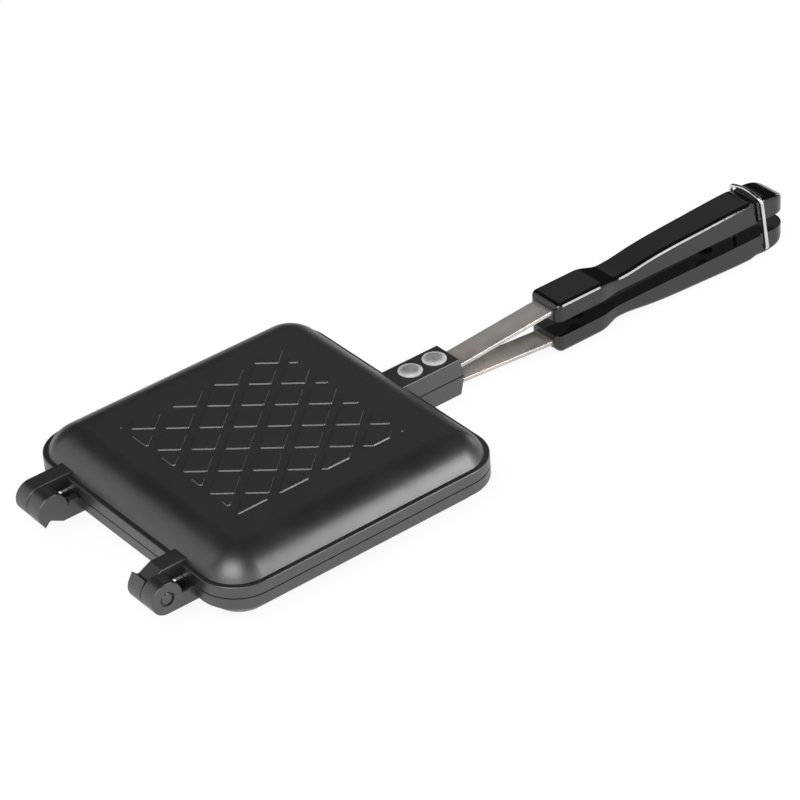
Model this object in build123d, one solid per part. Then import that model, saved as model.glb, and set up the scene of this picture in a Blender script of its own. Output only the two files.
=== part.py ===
from build123d import *
import os
from math import acos, asin, atan2, ceil, cos, degrees, radians, sin, sqrt, tan

# A hinged square pie iron: two identical cast plates that close face to face, each
# with a steel strap and a moulded grip, held shut by a wire bail. Millimetres, +Z up.
# Every piece is shaped about the centre of the plates, where the plates meet at z = 0,
# the hinge lies towards -Y and the grips point along +Y. The finished pieces are then
# moved so that the origin is at the bottom of the object, below the middle of its length.

# Cast plate
PLATE_SIDE = 145.0
PLATE_CORNER = 19.0
RIM_HEIGHT = 5.6
LEDGE_WIDTH = 2.3
DOME_HEIGHT = 16.2
SHOULDER_RADIUS = 18.0
SHOULDER_CORNER_SPARE = 0.3
WALL = 3.0
PARTING_CHAMFER = 0.3
RIM_EDGE = 0.6

# Raised diamond pads on the dome
PAD_RISE = 0.6
PAD_GAP = 3.8
PAD_PITCH_A = 14.3
PAD_PITCH_B = 15.9
PAD_ANGLE_A = 48.7
PAD_ANGLE_B = 132.1
PAD_FIELD_X = 84.0
PAD_FIELD_Y = 85.4
PAD_OFFSET_X = -0.3
PAD_OFFSET_Y = -0.7
PAD_MIN_AREA = 1.0
PAD_CORNER = 1.1
PAD_CORNER_SHARE = 0.2
PAD_CORNER_LEAST = 0.42
PAD_SIDE_RUN = 0.3
PAD_SIDE_DROP = 0.52

# Boss that carries the strap
BOSS_WIDTH = 15.5
BOSS_HEIGHT = 9.2
BOSS_LENGTH = 29.3
BOSS_DRAFT = 2.2
BOSS_EDGE = 0.5

# Hinge
HINGE_SETBACK = 13.5
EAR_RADIUS = 7.4
ARM_INNER = 32.0
ARM_WIDTH = 8.8
EAR_WIDTH = 8.2
EAR_GAP = 0.4
LUG_EDGE = 0.3
LUG_RISE = 0.2
LUG_ROOT_DEPTH = 13.5
POCKET_ROOF = 2.6
POCKET_LENGTH = 6.4
POCKET_CLEARANCE = 0.5
POCKET_WALL = 3.5
EAR_POCKET_WALL = 1.4
POCKET_SCREEN = 1.2
STOP_WIDTH = 3.3
STOP_LENGTH = 5.0
STOP_DROP = 1.2
STOP_CLEARANCE = 0.7
PIN_RADIUS = 2.7
PIN_CLEARANCE = 0.05
PIN_BLIND = 1.8
PIN_RECESS_WIDTH = 0.65
PIN_RECESS = 0.9
PIN_SETBACK = 0.2
PIN_CHAMFER = 0.4
BEAK_ANGLE = 148.0
BEAK_SETBACK = 4.5
BEAK_DROP = 0.5
NOTCH_BACK = 2.6
NOTCH_BACK_DROP = 2.5
NOTCH_FRONT = 1.6
NOTCH_DEPTH = 3.0
NOTCH_TOP = 4.3

# Strap
STRAP_WIDTH = 12.2
STRAP_THICKNESS = 2.0
STRAP_ROOT_DEPTH = 1.0
STRAP_ROOT_Z = 3.0
STRAP_STRAIGHT = 0.8
STRAP_SLOPE = 50.0
STRAP_TANG_Z = 6.85
STRAP_TANG_SPARE = 32.6
STRAP_CORNER = 3.0

# Rivets through boss and strap
RIVET_SETBACK = 6.1
RIVET_PITCH = 13.3
RIVET_SHANK = 2.5
RIVET_HEAD_RADIUS = 5.5
RIVET_HEAD_HEIGHT = 1.9
RIVET_FLARE = 1.5
RIVET_TAIL_HEIGHT = 1.8
RIVET_TAIL_SETBACK = 0.4

# Grip
GRIP_LENGTH = 140.8
GRIP_SETBACK = 1.2
GRIP_INNER = 3.8
GUARD_HALF = 9.7
GUARD_CORNER = 3.4
GUARD_LENGTH = 25.0
GUARD_TOP = 12.5
NECK_HALF = 8.0
NECK_OFFSET = 38.0
NECK_TOP = 10.6
PALM_HALF = 8.9
PALM_START = 12.2
PALM_START_OFFSET = 54.0
PALM_MIDDLE = 14.3
PALM_MIDDLE_OFFSET = 88.0
PALM_TOP = 15.2
SHELF_LENGTH = 6.0
NOSE_Z = 5.0
NOSE_SPARE = 1.0
GRIP_EDGE = 2.2

# Grip screws
SCREW_FRONT_OFFSET = 18.2
SCREW_REAR_INSET = 12.0
SCREW_RADIUS = 2.0
SCREW_FLARE = 1.7
SCREW_HEAD_HEIGHT = 2.0
SCREW_LENGTH = 7.0
SCREW_SETBACK = 0.3
SOCKET_ACROSS = 2.5
SOCKET_DEPTH = 1.2

# Wire bail
BAIL_RADIUS = 0.9
BAIL_PIVOT_INSET = 14.8
BAIL_PIVOT_Z = -11.0
BAIL_REACH = 26.8
BAIL_CROWN = 2.7
BAIL_CROWN_BEND = 20.0
BAIL_LEAN = 8.2
BAIL_SIDE_CLEARANCE = 0.4
BAIL_BEND = 3.0
BAIL_FOOT = 5.0
BAIL_FOOT_SPARE = 0.1
BAIL_SEAT_CLEARANCE = 0.3
CHANNEL_DEPTH = 1.2
CHANNEL_CLEARANCE = 0.4
CHANNEL_FOOT_SPARE = 1.6
CHANNEL_TOP_SPARE = 3.4

# Clearances between pieces
FIXED_CLEARANCE = 0.02
SLOT_CLEARANCE = 0.05

# Plate sizes worked out from the ones above
HALF = PLATE_SIDE / 2
DOME_FOOT = HALF - LEDGE_WIDTH
SHOULDER_DROP = SHOULDER_RADIUS - (DOME_HEIGHT - RIM_HEIGHT)
SHOULDER_CENTRE = DOME_FOOT - sqrt(SHOULDER_RADIUS**2 - SHOULDER_DROP**2)
BOSS_END = HALF + BOSS_LENGTH

# Hinge sizes worked out
HINGE_Y = -HALF - HINGE_SETBACK
ARM_OUTER = ARM_INNER + ARM_WIDTH
EAR_INNER = ARM_OUTER + EAR_GAP
EAR_OUTER = EAR_INNER + EAR_WIDTH
LUG_ROOT = -SHOULDER_CENTRE - LUG_ROOT_DEPTH

# Places along the handle worked out
STRAP_ROOT = HALF - STRAP_ROOT_DEPTH
RIVET_FRONT = HALF + RIVET_SETBACK
RIVET_PLACES = (RIVET_FRONT, RIVET_FRONT + RIVET_PITCH)
STRAP_BEND_START = BOSS_END + STRAP_STRAIGHT
STRAP_BEND_END = STRAP_BEND_START + STRAP_SLOPE
GRIP_START = STRAP_BEND_END + GRIP_SETBACK
GRIP_END = GRIP_START + GRIP_LENGTH
STRAP_END = GRIP_END - STRAP_TANG_SPARE
SCREW_PLACES = (GRIP_START + SCREW_FRONT_OFFSET, STRAP_END - SCREW_REAR_INSET)
BAIL_PIVOT_Y = GRIP_END - BAIL_PIVOT_INSET
BAIL_HALF = PALM_HALF + BAIL_SIDE_CLEARANCE + BAIL_RADIUS
BAIL_FOOT_BEND = BAIL_HALF - PALM_HALF - BAIL_FOOT_SPARE
BAIL_SEAT = BAIL_REACH - BAIL_RADIUS - BAIL_SEAT_CLEARANCE
NOSE_LENGTH = GRIP_END + NOSE_SPARE - BAIL_PIVOT_Y

# The object's place: its lowest level, and the middle of its length
BASE_Z = -DOME_HEIGHT - PAD_RISE
MIDDLE_Y = (GRIP_END + HINGE_Y - EAR_RADIUS) / 2
TO_ROW = Pos(0, -MIDDLE_Y, -BASE_Z)
TURN_OVER = Rot(0, 180, 0)


def side_profile(points):
    """Face in the YZ plane through the given (y, z) corners."""
    return make_face(Polyline([(0, y, z) for y, z in points], close=True))


def slab(face, x_low, x_high):
    """Prism of a YZ face between two X positions."""
    return Pos(x_low, 0, 0) * extrude(face, amount=x_high - x_low, dir=(1, 0, 0))


def block(x_low, x_high, y_low, y_high, z_low, z_high):
    """Box between the given limits."""
    size = (x_high - x_low, y_high - y_low, z_high - z_low)
    middle = ((x_low + x_high) / 2, (y_low + y_high) / 2, (z_low + z_high) / 2)
    return Pos(*middle) * Box(*size)


def cross_cylinder(radius, x_low, x_high, y, z):
    """Cylinder along X between two positions."""
    turned = Rot(0, 90, 0) * Cylinder(radius, x_high - x_low)
    return Pos((x_low + x_high) / 2, y, z) * turned


def shoulder_block(inset):
    """Rounded square block whose top edge rolls over; inset moves its skin inwards."""
    radius = SHOULDER_RADIUS - inset
    side = 2 * (SHOULDER_CENTRE + radius)
    wall_corner = PLATE_CORNER - LEDGE_WIDTH + SHOULDER_CENTRE + SHOULDER_RADIUS - DOME_FOOT
    corner = max(wall_corner, SHOULDER_RADIUS + SHOULDER_CORNER_SPARE) - inset
    foot = -SHOULDER_RADIUS
    top = DOME_HEIGHT - inset
    body = Pos(0, 0, foot) * extrude(RectangleRounded(side, side, corner), amount=top - foot)
    return fillet(body.edges().group_by(Axis.Z)[-1], radius)


def rim():
    """Flat flange of the plate, with its outer edge eased."""
    body = extrude(RectangleRounded(PLATE_SIDE, PLATE_SIDE, PLATE_CORNER), amount=RIM_HEIGHT)
    body = fillet(body.edges().group_by(Axis.Z)[-1], RIM_EDGE)
    return chamfer(body.edges().group_by(Axis.Z)[0], PARTING_CHAMFER)


def dome():
    """Upper skin of the plate, from the ledge to the flat top."""
    keep = block(-HALF, HALF, -HALF, HALF, RIM_HEIGHT / 2, DOME_HEIGHT + 1)
    return shoulder_block(0) & keep


def eased_pad(face):
    """Prism of one pad, with its corners rounded and its sides sloping in to its top."""
    shortest = min(edge.length for edge in face.edges())
    corner = min(PAD_CORNER, max(PAD_CORNER_LEAST, PAD_CORNER_SHARE * shortest))
    body = extrude(fillet(face.vertices(), corner), amount=2 * PAD_RISE)
    top = body.faces().sort_by(Axis.Z)[-1]
    return chamfer(top.edges(), PAD_SIDE_RUN, PAD_SIDE_DROP, reference=top)


def pads():
    """Raised diamonds between two families of grooves, inside a rectangular field."""
    step_a = Vector(cos(radians(PAD_ANGLE_A)), sin(radians(PAD_ANGLE_A)), 0)
    step_b = Vector(cos(radians(PAD_ANGLE_B)), sin(radians(PAD_ANGLE_B)), 0)
    half_a = step_a * ((PAD_PITCH_A - PAD_GAP) / 2)
    half_b = step_b * ((PAD_PITCH_B - PAD_GAP) / 2)
    field = Rectangle(PAD_FIELD_X, PAD_FIELD_Y)
    rows = ceil((PAD_FIELD_X + PAD_FIELD_Y) / 2 / min(PAD_PITCH_A, PAD_PITCH_B))
    found = []
    for i in range(-rows, rows):
        for j in range(-rows, rows):
            middle = step_a * (PAD_PITCH_A * (i + 0.5)) + step_b * (PAD_PITCH_B * (j + 0.5))
            corners = [
                middle - half_a - half_b,
                middle + half_a - half_b,
                middle + half_a + half_b,
                middle - half_a + half_b,
            ]
            diamond = make_face(Polyline(corners, close=True))
            for face in (diamond & field or Sketch()).faces():
                if face.area > PAD_MIN_AREA:
                    found.append(face)
    sunk = Pos(PAD_OFFSET_X, PAD_OFFSET_Y, DOME_HEIGHT - PAD_RISE)
    return [sunk * eased_pad(face) for face in found]


def boss():
    """Rectangular block on the handle side that takes the strap."""
    shape = [
        (SHOULDER_CENTRE, 0),
        (BOSS_END, 0),
        (BOSS_END - BOSS_DRAFT, BOSS_HEIGHT),
        (SHOULDER_CENTRE, BOSS_HEIGHT),
    ]
    body = slab(side_profile(shape), -BOSS_WIDTH / 2, BOSS_WIDTH / 2)
    top = [e for e in body.edges().group_by(Axis.Z)[-1] if e.center().Y > SHOULDER_CENTRE + 1]
    body = fillet(top, BOSS_EDGE)
    foot = [e for e in body.edges().group_by(Axis.Z)[0] if e.center().Y > SHOULDER_CENTRE + 1]
    return chamfer(foot, PARTING_CHAMFER)


def lug(profile, x_low, x_high):
    """Hinge lug cut from a YZ profile, with both its side edges eased."""
    body = slab(profile, x_low, x_high)
    sides = body.faces().sort_by(Axis.X)
    return chamfer(sides[0].edges() + sides[-1].edges(), LUG_EDGE)


def pocket(x_low, x_high):
    """Hollow under a lug, beside the rim."""
    far = -HALF - POCKET_CLEARANCE
    return block(x_low, x_high, far - POCKET_LENGTH, far, LUG_RISE - 1, EAR_RADIUS - POCKET_ROOF)


def on_disc(degrees):
    """Point of the hinge disc's outline, as (y, z), at an angle from +Y towards +Z."""
    turn = radians(degrees)
    return (HINGE_Y + EAR_RADIUS * cos(turn), EAR_RADIUS * sin(turn))


def beak_profile():
    """Outline of the inner hinge arm, with the notch and the beak over its disc."""
    root_angle = degrees(asin(LUG_RISE / EAR_RADIUS))
    start = on_disc(root_angle)
    front = on_disc(BEAK_ANGLE)
    under = on_disc((root_angle + BEAK_ANGLE - 360) / 2)
    corners = [
        front,
        (HINGE_Y - BEAK_SETBACK, EAR_RADIUS - BEAK_DROP),
        (HINGE_Y - NOTCH_BACK, EAR_RADIUS - NOTCH_BACK_DROP),
        (HINGE_Y - NOTCH_FRONT, EAR_RADIUS - NOTCH_DEPTH),
        (HINGE_Y + NOTCH_TOP, EAR_RADIUS),
        (LUG_ROOT, EAR_RADIUS),
        (LUG_ROOT, LUG_RISE),
        start,
    ]
    top = Polyline([(0, y, z) for y, z in corners])
    disc = ThreePointArc((0, *start), (0, *under), (0, *front))
    return make_face([*top.edges(), disc])


def inner_arm():
    """Arm that carries the hinge pin, with a stop block and a pocket behind it."""
    body = lug(beak_profile(), ARM_INNER, ARM_OUTER)
    body -= pocket(ARM_INNER + POCKET_WALL, ARM_OUTER - POCKET_SCREEN)
    far = -HALF - STOP_CLEARANCE
    stop_outer = ARM_INNER + STOP_WIDTH
    return body + block(ARM_INNER, stop_outer, far - STOP_LENGTH, far, -STOP_DROP, LUG_RISE + 1)


def ear():
    """Outer hinge ear: a disc on an arm, with a pocket behind the disc."""
    arm = [
        (HINGE_Y, LUG_RISE),
        (LUG_ROOT, LUG_RISE),
        (LUG_ROOT, EAR_RADIUS),
        (HINGE_Y, EAR_RADIUS),
    ]
    disc = Plane.YZ * Pos(HINGE_Y, 0) * Circle(EAR_RADIUS)
    body = lug(disc + side_profile(arm), -EAR_OUTER, -EAR_INNER)
    return body - pocket(-EAR_OUTER + EAR_POCKET_WALL, -EAR_INNER - POCKET_SCREEN)


def rivet():
    """Solid rivet with a domed head on the boss and a countersunk tail."""
    tail = RIVET_TAIL_SETBACK
    sag = RIVET_HEAD_HEIGHT
    head = RIVET_HEAD_RADIUS
    rise = BOSS_HEIGHT + sag
    ball = (head**2 + sag**2) / (2 * sag)
    halfway = ball * sin(atan2(head, ball - sag) / 2)
    halfway_z = rise - ball + sqrt(ball**2 - halfway**2)
    outline = Polyline(
        (0, 0, rise), (0, 0, tail), (RIVET_SHANK + RIVET_FLARE, 0, tail),
        (RIVET_SHANK, 0, tail + RIVET_TAIL_HEIGHT), (RIVET_SHANK, 0, BOSS_HEIGHT),
        (head, 0, BOSS_HEIGHT),
    )
    crown = ThreePointArc((head, 0, BOSS_HEIGHT), (halfway, 0, halfway_z), (0, 0, rise))
    return revolve(make_face([*outline.edges(), crown]), Axis.Z)


def rivet_hole():
    """Room for a rivet's shank and tail in the boss."""
    tail = RIVET_TAIL_SETBACK
    flare = RIVET_SHANK + RIVET_FLARE + FIXED_CLEARANCE
    shank = RIVET_SHANK + FIXED_CLEARANCE
    outline = Polyline(
        (0, 0, -1), (flare, 0, -1), (flare, 0, tail),
        (shank, 0, tail + RIVET_TAIL_HEIGHT), (shank, 0, BOSS_HEIGHT + 1),
        (0, 0, BOSS_HEIGHT + 1), (0, 0, -1),
    )
    return revolve(make_face(outline), Axis.Z)


def plate():
    """One cast half: rim, dome, pads, boss and hinge lugs around the open cavity."""
    body = rim() + dome() + boss() + inner_arm() + ear()
    for pad in pads():
        body += pad
    body -= shoulder_block(WALL)
    strap_half = STRAP_WIDTH / 2 + SLOT_CLEARANCE
    body -= block(
        -strap_half, strap_half,
        STRAP_ROOT - SLOT_CLEARANCE, BOSS_END + 1,
        STRAP_ROOT_Z - SLOT_CLEARANCE,
        STRAP_ROOT_Z + STRAP_THICKNESS + SLOT_CLEARANCE,
    )
    for y in RIVET_PLACES:
        body -= Pos(0, y, 0) * rivet_hole()
    pin_from = ARM_INNER + PIN_BLIND
    bore = PIN_RADIUS + PIN_CLEARANCE
    recess = bore + PIN_RECESS_WIDTH
    body -= cross_cylinder(PIN_RADIUS + FIXED_CLEARANCE, pin_from, ARM_OUTER + 1, HINGE_Y, 0)
    body -= cross_cylinder(bore, -EAR_OUTER - 1, -EAR_INNER + 1, HINGE_Y, 0)
    body -= cross_cylinder(recess, -EAR_OUTER - 1, -EAR_OUTER + PIN_RECESS, HINGE_Y, 0)
    return body


def hinge_pin():
    """Pin fixed in the inner arm, which turns in the other half's ear."""
    pin_from = ARM_INNER + PIN_BLIND + FIXED_CLEARANCE
    pin_to = EAR_OUTER - PIN_SETBACK
    body = cross_cylinder(PIN_RADIUS, pin_from, pin_to, HINGE_Y, 0)
    return chamfer(body.edges().group_by(Axis.X)[-1], PIN_CHAMFER)


def strap():
    """Flat bar, straight in the boss, sloping out to the grip, then straight inside it."""
    low = STRAP_ROOT_Z
    high = STRAP_TANG_Z
    thick = STRAP_THICKNESS
    run = STRAP_BEND_END - STRAP_BEND_START
    shift = thick * (high - low) / run / 2
    outline = [
        (STRAP_ROOT, low),
        (STRAP_BEND_START + shift, low),
        (STRAP_BEND_END + shift, high),
        (STRAP_END, high),
        (STRAP_END, high + thick),
        (STRAP_BEND_END - shift, high + thick),
        (STRAP_BEND_START - shift, low + thick),
        (STRAP_ROOT, low + thick),
    ]
    body = slab(side_profile(outline), -STRAP_WIDTH / 2, STRAP_WIDTH / 2)
    ends = [e for e in body.edges().filter_by(Axis.Z) if e.center().Y > STRAP_END - 1]
    body = fillet(ends, STRAP_CORNER)
    for y in RIVET_PLACES:
        body -= Pos(0, y, low) * Cylinder(RIVET_SHANK + FIXED_CLEARANCE, 4 * thick)
    for y in SCREW_PLACES:
        body -= Pos(0, y, high) * Cylinder(SCREW_RADIUS + FIXED_CLEARANCE, 4 * thick)
    return body


def grip_plan():
    """Outline of the grip seen from above, as one closed face."""
    guard_end = GRIP_START + GUARD_LENGTH
    neck = GRIP_START + NECK_OFFSET
    tail = GRIP_END - PALM_HALF
    corner = GUARD_CORNER
    front = Line((0, GRIP_START), (GUARD_HALF - corner, GRIP_START))
    bend = CenterArc((GUARD_HALF - corner, GRIP_START + corner), corner, -90, 90)
    guard = Line((GUARD_HALF, GRIP_START + corner), (GUARD_HALF, guard_end))
    waist = Spline(
        (GUARD_HALF, guard_end), (NECK_HALF, neck),
        tangents=[(0, 1), (0, 1)],
    )
    body = Spline((NECK_HALF, neck), (PALM_HALF, tail), tangents=[(0, 1), (0, 1)])
    end = CenterArc((0, tail), PALM_HALF, 0, 90)
    right = [front, bend, guard, waist, body, end]
    left = [mirror(edge, about=Plane.YZ) for edge in right]
    return make_face(right + left)


def nose_arc(start, size):
    """Part of the elliptical fall of the grip's outer face past the bail's pivot."""
    height = BAIL_PIVOT_Z + BAIL_SEAT - NOSE_Z
    centre = (BAIL_PIVOT_Y, NOSE_Z)
    return Plane.YZ * EllipticalCenterArc(centre, NOSE_LENGTH, height, start, arc_size=size)


def grip_side():
    """Outline of the grip seen from the side, from its flat inner face to its outer one."""
    front = GRIP_START
    past_end = BAIL_PIVOT_Y + NOSE_LENGTH
    corner = GUARD_CORNER
    corner_z = GUARD_TOP - corner
    corner_cut = corner * (1 - sqrt(0.5))
    guard_end = GRIP_START + GUARD_LENGTH
    neck = GRIP_START + NECK_OFFSET
    lean = radians(BAIL_LEAN)
    seat = (0, BAIL_PIVOT_Y - BAIL_SEAT * sin(lean), BAIL_PIVOT_Z + BAIL_SEAT * cos(lean))
    seat_slope = (0, cos(lean), sin(lean))
    before_crest = (
        0, BAIL_PIVOT_Y - BAIL_SEAT * sin(lean / 2), BAIL_PIVOT_Z + BAIL_SEAT * cos(lean / 2),
    )
    shelf = (0, seat[1] - SHELF_LENGTH, PALM_TOP)
    crest = (0, BAIL_PIVOT_Y, BAIL_PIVOT_Z + BAIL_SEAT)
    tail_angle = degrees(acos((GRIP_END - PALM_HALF - BAIL_PIVOT_Y) / NOSE_LENGTH))
    level = (0, 1, 0)
    edges = [
        Line((0, front, GRIP_INNER), (0, front, corner_z)),
        ThreePointArc(
            (0, front, corner_z),
            (0, front + corner_cut, GUARD_TOP - corner_cut),
            (0, front + corner, GUARD_TOP),
        ),
        Line((0, front + corner, GUARD_TOP), (0, guard_end, GUARD_TOP)),
        Spline((0, guard_end, GUARD_TOP), (0, neck, NECK_TOP), tangents=[level, level]),
        Spline(
            (0, neck, NECK_TOP),
            (0, GRIP_START + PALM_START_OFFSET, PALM_START),
            (0, GRIP_START + PALM_MIDDLE_OFFSET, PALM_MIDDLE),
            shelf,
            tangents=[level, level],
        ),
        Spline(shelf, seat, tangents=[level, seat_slope]),
        ThreePointArc(seat, before_crest, crest),
        nose_arc(tail_angle, 90 - tail_angle),
        nose_arc(0, tail_angle),
        Polyline((0, past_end, NOSE_Z), (0, past_end, GRIP_INNER), (0, front, GRIP_INNER)),
    ]
    return make_face([edge for part in edges for edge in part.edges()])


def screw():
    """Countersunk screw, head at the grip's inner face, pointing up into the grip."""
    start = GRIP_INNER + SCREW_SETBACK
    outline = Polyline(
        (0, 0, start), (SCREW_RADIUS + SCREW_FLARE, 0, start),
        (SCREW_RADIUS, 0, start + SCREW_HEAD_HEIGHT), (SCREW_RADIUS, 0, start + SCREW_LENGTH),
        (0, 0, start + SCREW_LENGTH), (0, 0, start),
    )
    body = revolve(make_face(outline), Axis.Z)
    socket = extrude(RegularPolygon(SOCKET_ACROSS / 2, 6), amount=SOCKET_DEPTH)
    return body - Pos(0, 0, start) * socket


def screw_hole():
    """Room for a screw in the grip, open at the inner face."""
    start = GRIP_INNER + SCREW_SETBACK
    head = SCREW_RADIUS + SCREW_FLARE + FIXED_CLEARANCE
    shank = SCREW_RADIUS + FIXED_CLEARANCE
    tip = start + SCREW_LENGTH + SLOT_CLEARANCE
    outline = Polyline(
        (0, 0, 0), (head, 0, 0), (head, 0, start),
        (shank, 0, start + SCREW_HEAD_HEIGHT), (shank, 0, tip),
        (0, 0, tip), (0, 0, 0),
    )
    return revolve(make_face(outline), Axis.Z)


def leg_y(z):
    """Where the closed bail's legs cross a level."""
    return BAIL_PIVOT_Y - (z - BAIL_PIVOT_Z) * tan(radians(BAIL_LEAN))


def channels(outline):
    """Both side channels of a grip, from one outline of (y, z) corners."""
    depth_at = PALM_HALF - CHANNEL_DEPTH
    right = slab(side_profile(outline), depth_at, GUARD_HALF + 1)
    return right + mirror(right, about=Plane.YZ)


def upper_channels():
    """Channels for the bail's legs in the upper grip, wider towards its outer face."""
    ahead = BAIL_RADIUS + CHANNEL_FOOT_SPARE
    behind = BAIL_RADIUS + CHANNEL_CLEARANCE
    return channels([
        (leg_y(0) - ahead, 0),
        (leg_y(0) + behind, 0),
        (leg_y(PALM_TOP) + behind, PALM_TOP + 1),
        (leg_y(PALM_TOP) - ahead - CHANNEL_TOP_SPARE, PALM_TOP + 1),
    ])


def lower_channels():
    """Channels in the lower grip, from its inner face to the bail's feet."""
    ahead = BAIL_RADIUS + CHANNEL_FOOT_SPARE
    behind = BAIL_RADIUS + CHANNEL_CLEARANCE
    return channels([
        (leg_y(0) - ahead, 0),
        (leg_y(0) + behind, 0),
        (BAIL_PIVOT_Y + behind, BAIL_PIVOT_Z),
        (BAIL_PIVOT_Y + CHANNEL_CLEARANCE, BAIL_PIVOT_Z - behind),
        (BAIL_PIVOT_Y - BAIL_RADIUS, BAIL_PIVOT_Z - behind),
    ])


def grip():
    """Moulded grip with its slot for the strap and its screw holes."""
    plan = extrude(grip_plan(), amount=2 * PALM_TOP)
    side = slab(grip_side(), -2 * GUARD_HALF, 2 * GUARD_HALF)
    body = plan & side
    rounded = []
    for edge in body.edges():
        across = edge.geom_type == GeomType.LINE and abs(edge.center().X) < 1
        if edge.bounding_box().min.Z > GRIP_INNER + 1 and not across:
            rounded.append(edge)
    body = fillet(rounded, GRIP_EDGE)
    strap_half = STRAP_WIDTH / 2 + SLOT_CLEARANCE
    body -= block(
        -strap_half, strap_half,
        GRIP_START - 1, STRAP_END + SLOT_CLEARANCE,
        STRAP_TANG_Z - SLOT_CLEARANCE, STRAP_TANG_Z + STRAP_THICKNESS + SLOT_CLEARANCE,
    )
    for y in SCREW_PLACES:
        body -= Pos(0, y, 0) * screw_hole()
    return body


def bail():
    """Bent wire: two feet in the lower grip, two legs and a crossbar with a raised middle."""
    lean = radians(BAIL_LEAN)
    foot_x = PALM_HALF - BAIL_FOOT
    top_y = BAIL_PIVOT_Y - BAIL_REACH * sin(lean)
    top_z = BAIL_PIVOT_Z + BAIL_REACH * cos(lean)
    crown_y = top_y - BAIL_CROWN * sin(lean)
    crown_z = top_z + BAIL_CROWN * cos(lean)
    corners = [
        (-foot_x, BAIL_PIVOT_Y, BAIL_PIVOT_Z),
        (-BAIL_HALF, BAIL_PIVOT_Y, BAIL_PIVOT_Z),
        (-BAIL_HALF, top_y, top_z),
        (0, crown_y, crown_z),
        (BAIL_HALF, top_y, top_z),
        (BAIL_HALF, BAIL_PIVOT_Y, BAIL_PIVOT_Z),
        (foot_x, BAIL_PIVOT_Y, BAIL_PIVOT_Z),
    ]
    radii = [BAIL_FOOT_BEND, BAIL_BEND, BAIL_CROWN_BEND, BAIL_BEND, BAIL_FOOT_BEND]
    path = FilletPolyline(*corners, radius=radii)
    section = Plane(origin=path @ 0, z_dir=path % 0) * Circle(BAIL_RADIUS)
    return sweep(section, path=path)


def build():
    """All the pieces by node name, in the plates' own place."""
    half_plate = plate()
    half_strap = strap()
    half_grip = grip()
    foot_hole = BAIL_RADIUS + PIN_CLEARANCE
    foot_end = PALM_HALF - BAIL_FOOT - SLOT_CLEARANCE
    feet = cross_cylinder(foot_hole, foot_end, PALM_HALF + 1, BAIL_PIVOT_Y, BAIL_PIVOT_Z)
    feet += cross_cylinder(foot_hole, -PALM_HALF - 1, -foot_end, BAIL_PIVOT_Y, BAIL_PIVOT_Z)
    pieces = {
        "upper_plate": half_plate,
        "lower_plate": TURN_OVER * half_plate,
        "upper_hinge_pin": hinge_pin(),
        "lower_hinge_pin": TURN_OVER * hinge_pin(),
        "upper_strap": half_strap,
        "lower_strap": TURN_OVER * half_strap,
        "upper_grip": half_grip - upper_channels(),
        "lower_grip": TURN_OVER * half_grip - lower_channels() - feet,
        "latch_bail": bail(),
    }
    for place, y in zip(("front", "rear"), RIVET_PLACES):
        piece = Pos(0, y, 0) * rivet()
        pieces[f"upper_rivet_{place}"] = piece
        pieces[f"lower_rivet_{place}"] = TURN_OVER * piece
    for place, y in zip(("front", "rear"), SCREW_PLACES):
        piece = Pos(0, y, 0) * screw()
        pieces[f"upper_grip_screw_{place}"] = piece
        pieces[f"lower_grip_screw_{place}"] = TURN_OVER * piece
    return pieces


os.makedirs("parts", exist_ok=True)
for node, piece in build().items():
    export_step(TO_ROW * piece, f"parts/{node}.step")
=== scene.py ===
import math

import bmesh
import bpy
from mathutils import Matrix, Vector


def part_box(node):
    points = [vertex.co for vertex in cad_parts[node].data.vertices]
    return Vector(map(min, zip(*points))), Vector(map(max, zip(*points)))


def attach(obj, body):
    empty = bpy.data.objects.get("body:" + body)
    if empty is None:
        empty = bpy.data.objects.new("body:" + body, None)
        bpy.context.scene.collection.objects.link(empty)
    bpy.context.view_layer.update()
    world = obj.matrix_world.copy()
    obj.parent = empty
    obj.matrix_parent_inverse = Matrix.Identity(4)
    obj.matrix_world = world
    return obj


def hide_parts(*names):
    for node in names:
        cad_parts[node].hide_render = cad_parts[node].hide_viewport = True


bl_info = {
    "name": "Pie iron",
    "version": (1, 0, 0),
    "blender": (4, 5, 0),
    "location": "3D View > Sidebar > Pie Iron",
    "description": "Builds the visible pieces and finishes of a hinged pie iron",
    "category": "Object",
}

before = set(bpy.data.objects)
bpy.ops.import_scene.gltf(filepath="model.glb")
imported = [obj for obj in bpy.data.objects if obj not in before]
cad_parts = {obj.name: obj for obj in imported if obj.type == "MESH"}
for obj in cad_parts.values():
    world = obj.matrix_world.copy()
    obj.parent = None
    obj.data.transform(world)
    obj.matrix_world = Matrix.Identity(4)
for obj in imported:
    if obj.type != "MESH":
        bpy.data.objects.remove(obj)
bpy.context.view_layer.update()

MM = 0.001
HALVES = ("upper", "lower")
FLOOR_SIZE = 6.0

# Finishing of every new mesh: how near vertices merge, and where its shading breaks
MERGE_DISTANCE = 0.002 * MM
CREASE = math.radians(40.0)

# Floor: its own white where light falls on it, its even glow, and how much of its look that
# glow is, to the camera and in reflections
FLOOR_WHITE = 0.88
FLOOR_GLOW = 1.05
FLOOR_IN_VIEW = 0.86
FLOOR_IN_GLOSS = 0.6

# How the camera stands: its turn about the object, its height and its roll, in degrees
VIEW_TURN = 53.535
VIEW_HEIGHT = 34.245
VIEW_ROLL = -3.935

# What it looks at and how far it stands back from that, rightwards and upwards of it
VIEW_TARGET = (0.0, -0.1006, 0.0168)
VIEW_DISTANCE = 1.452973
VIEW_SHIFT = (0.056351, 0.025632)

# Its lens and sensor in millimetres, and the nearest place that it sees
VIEW_LENS = 155.786
VIEW_SENSOR = 36.0
VIEW_NEAREST = 10.0 * MM

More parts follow.
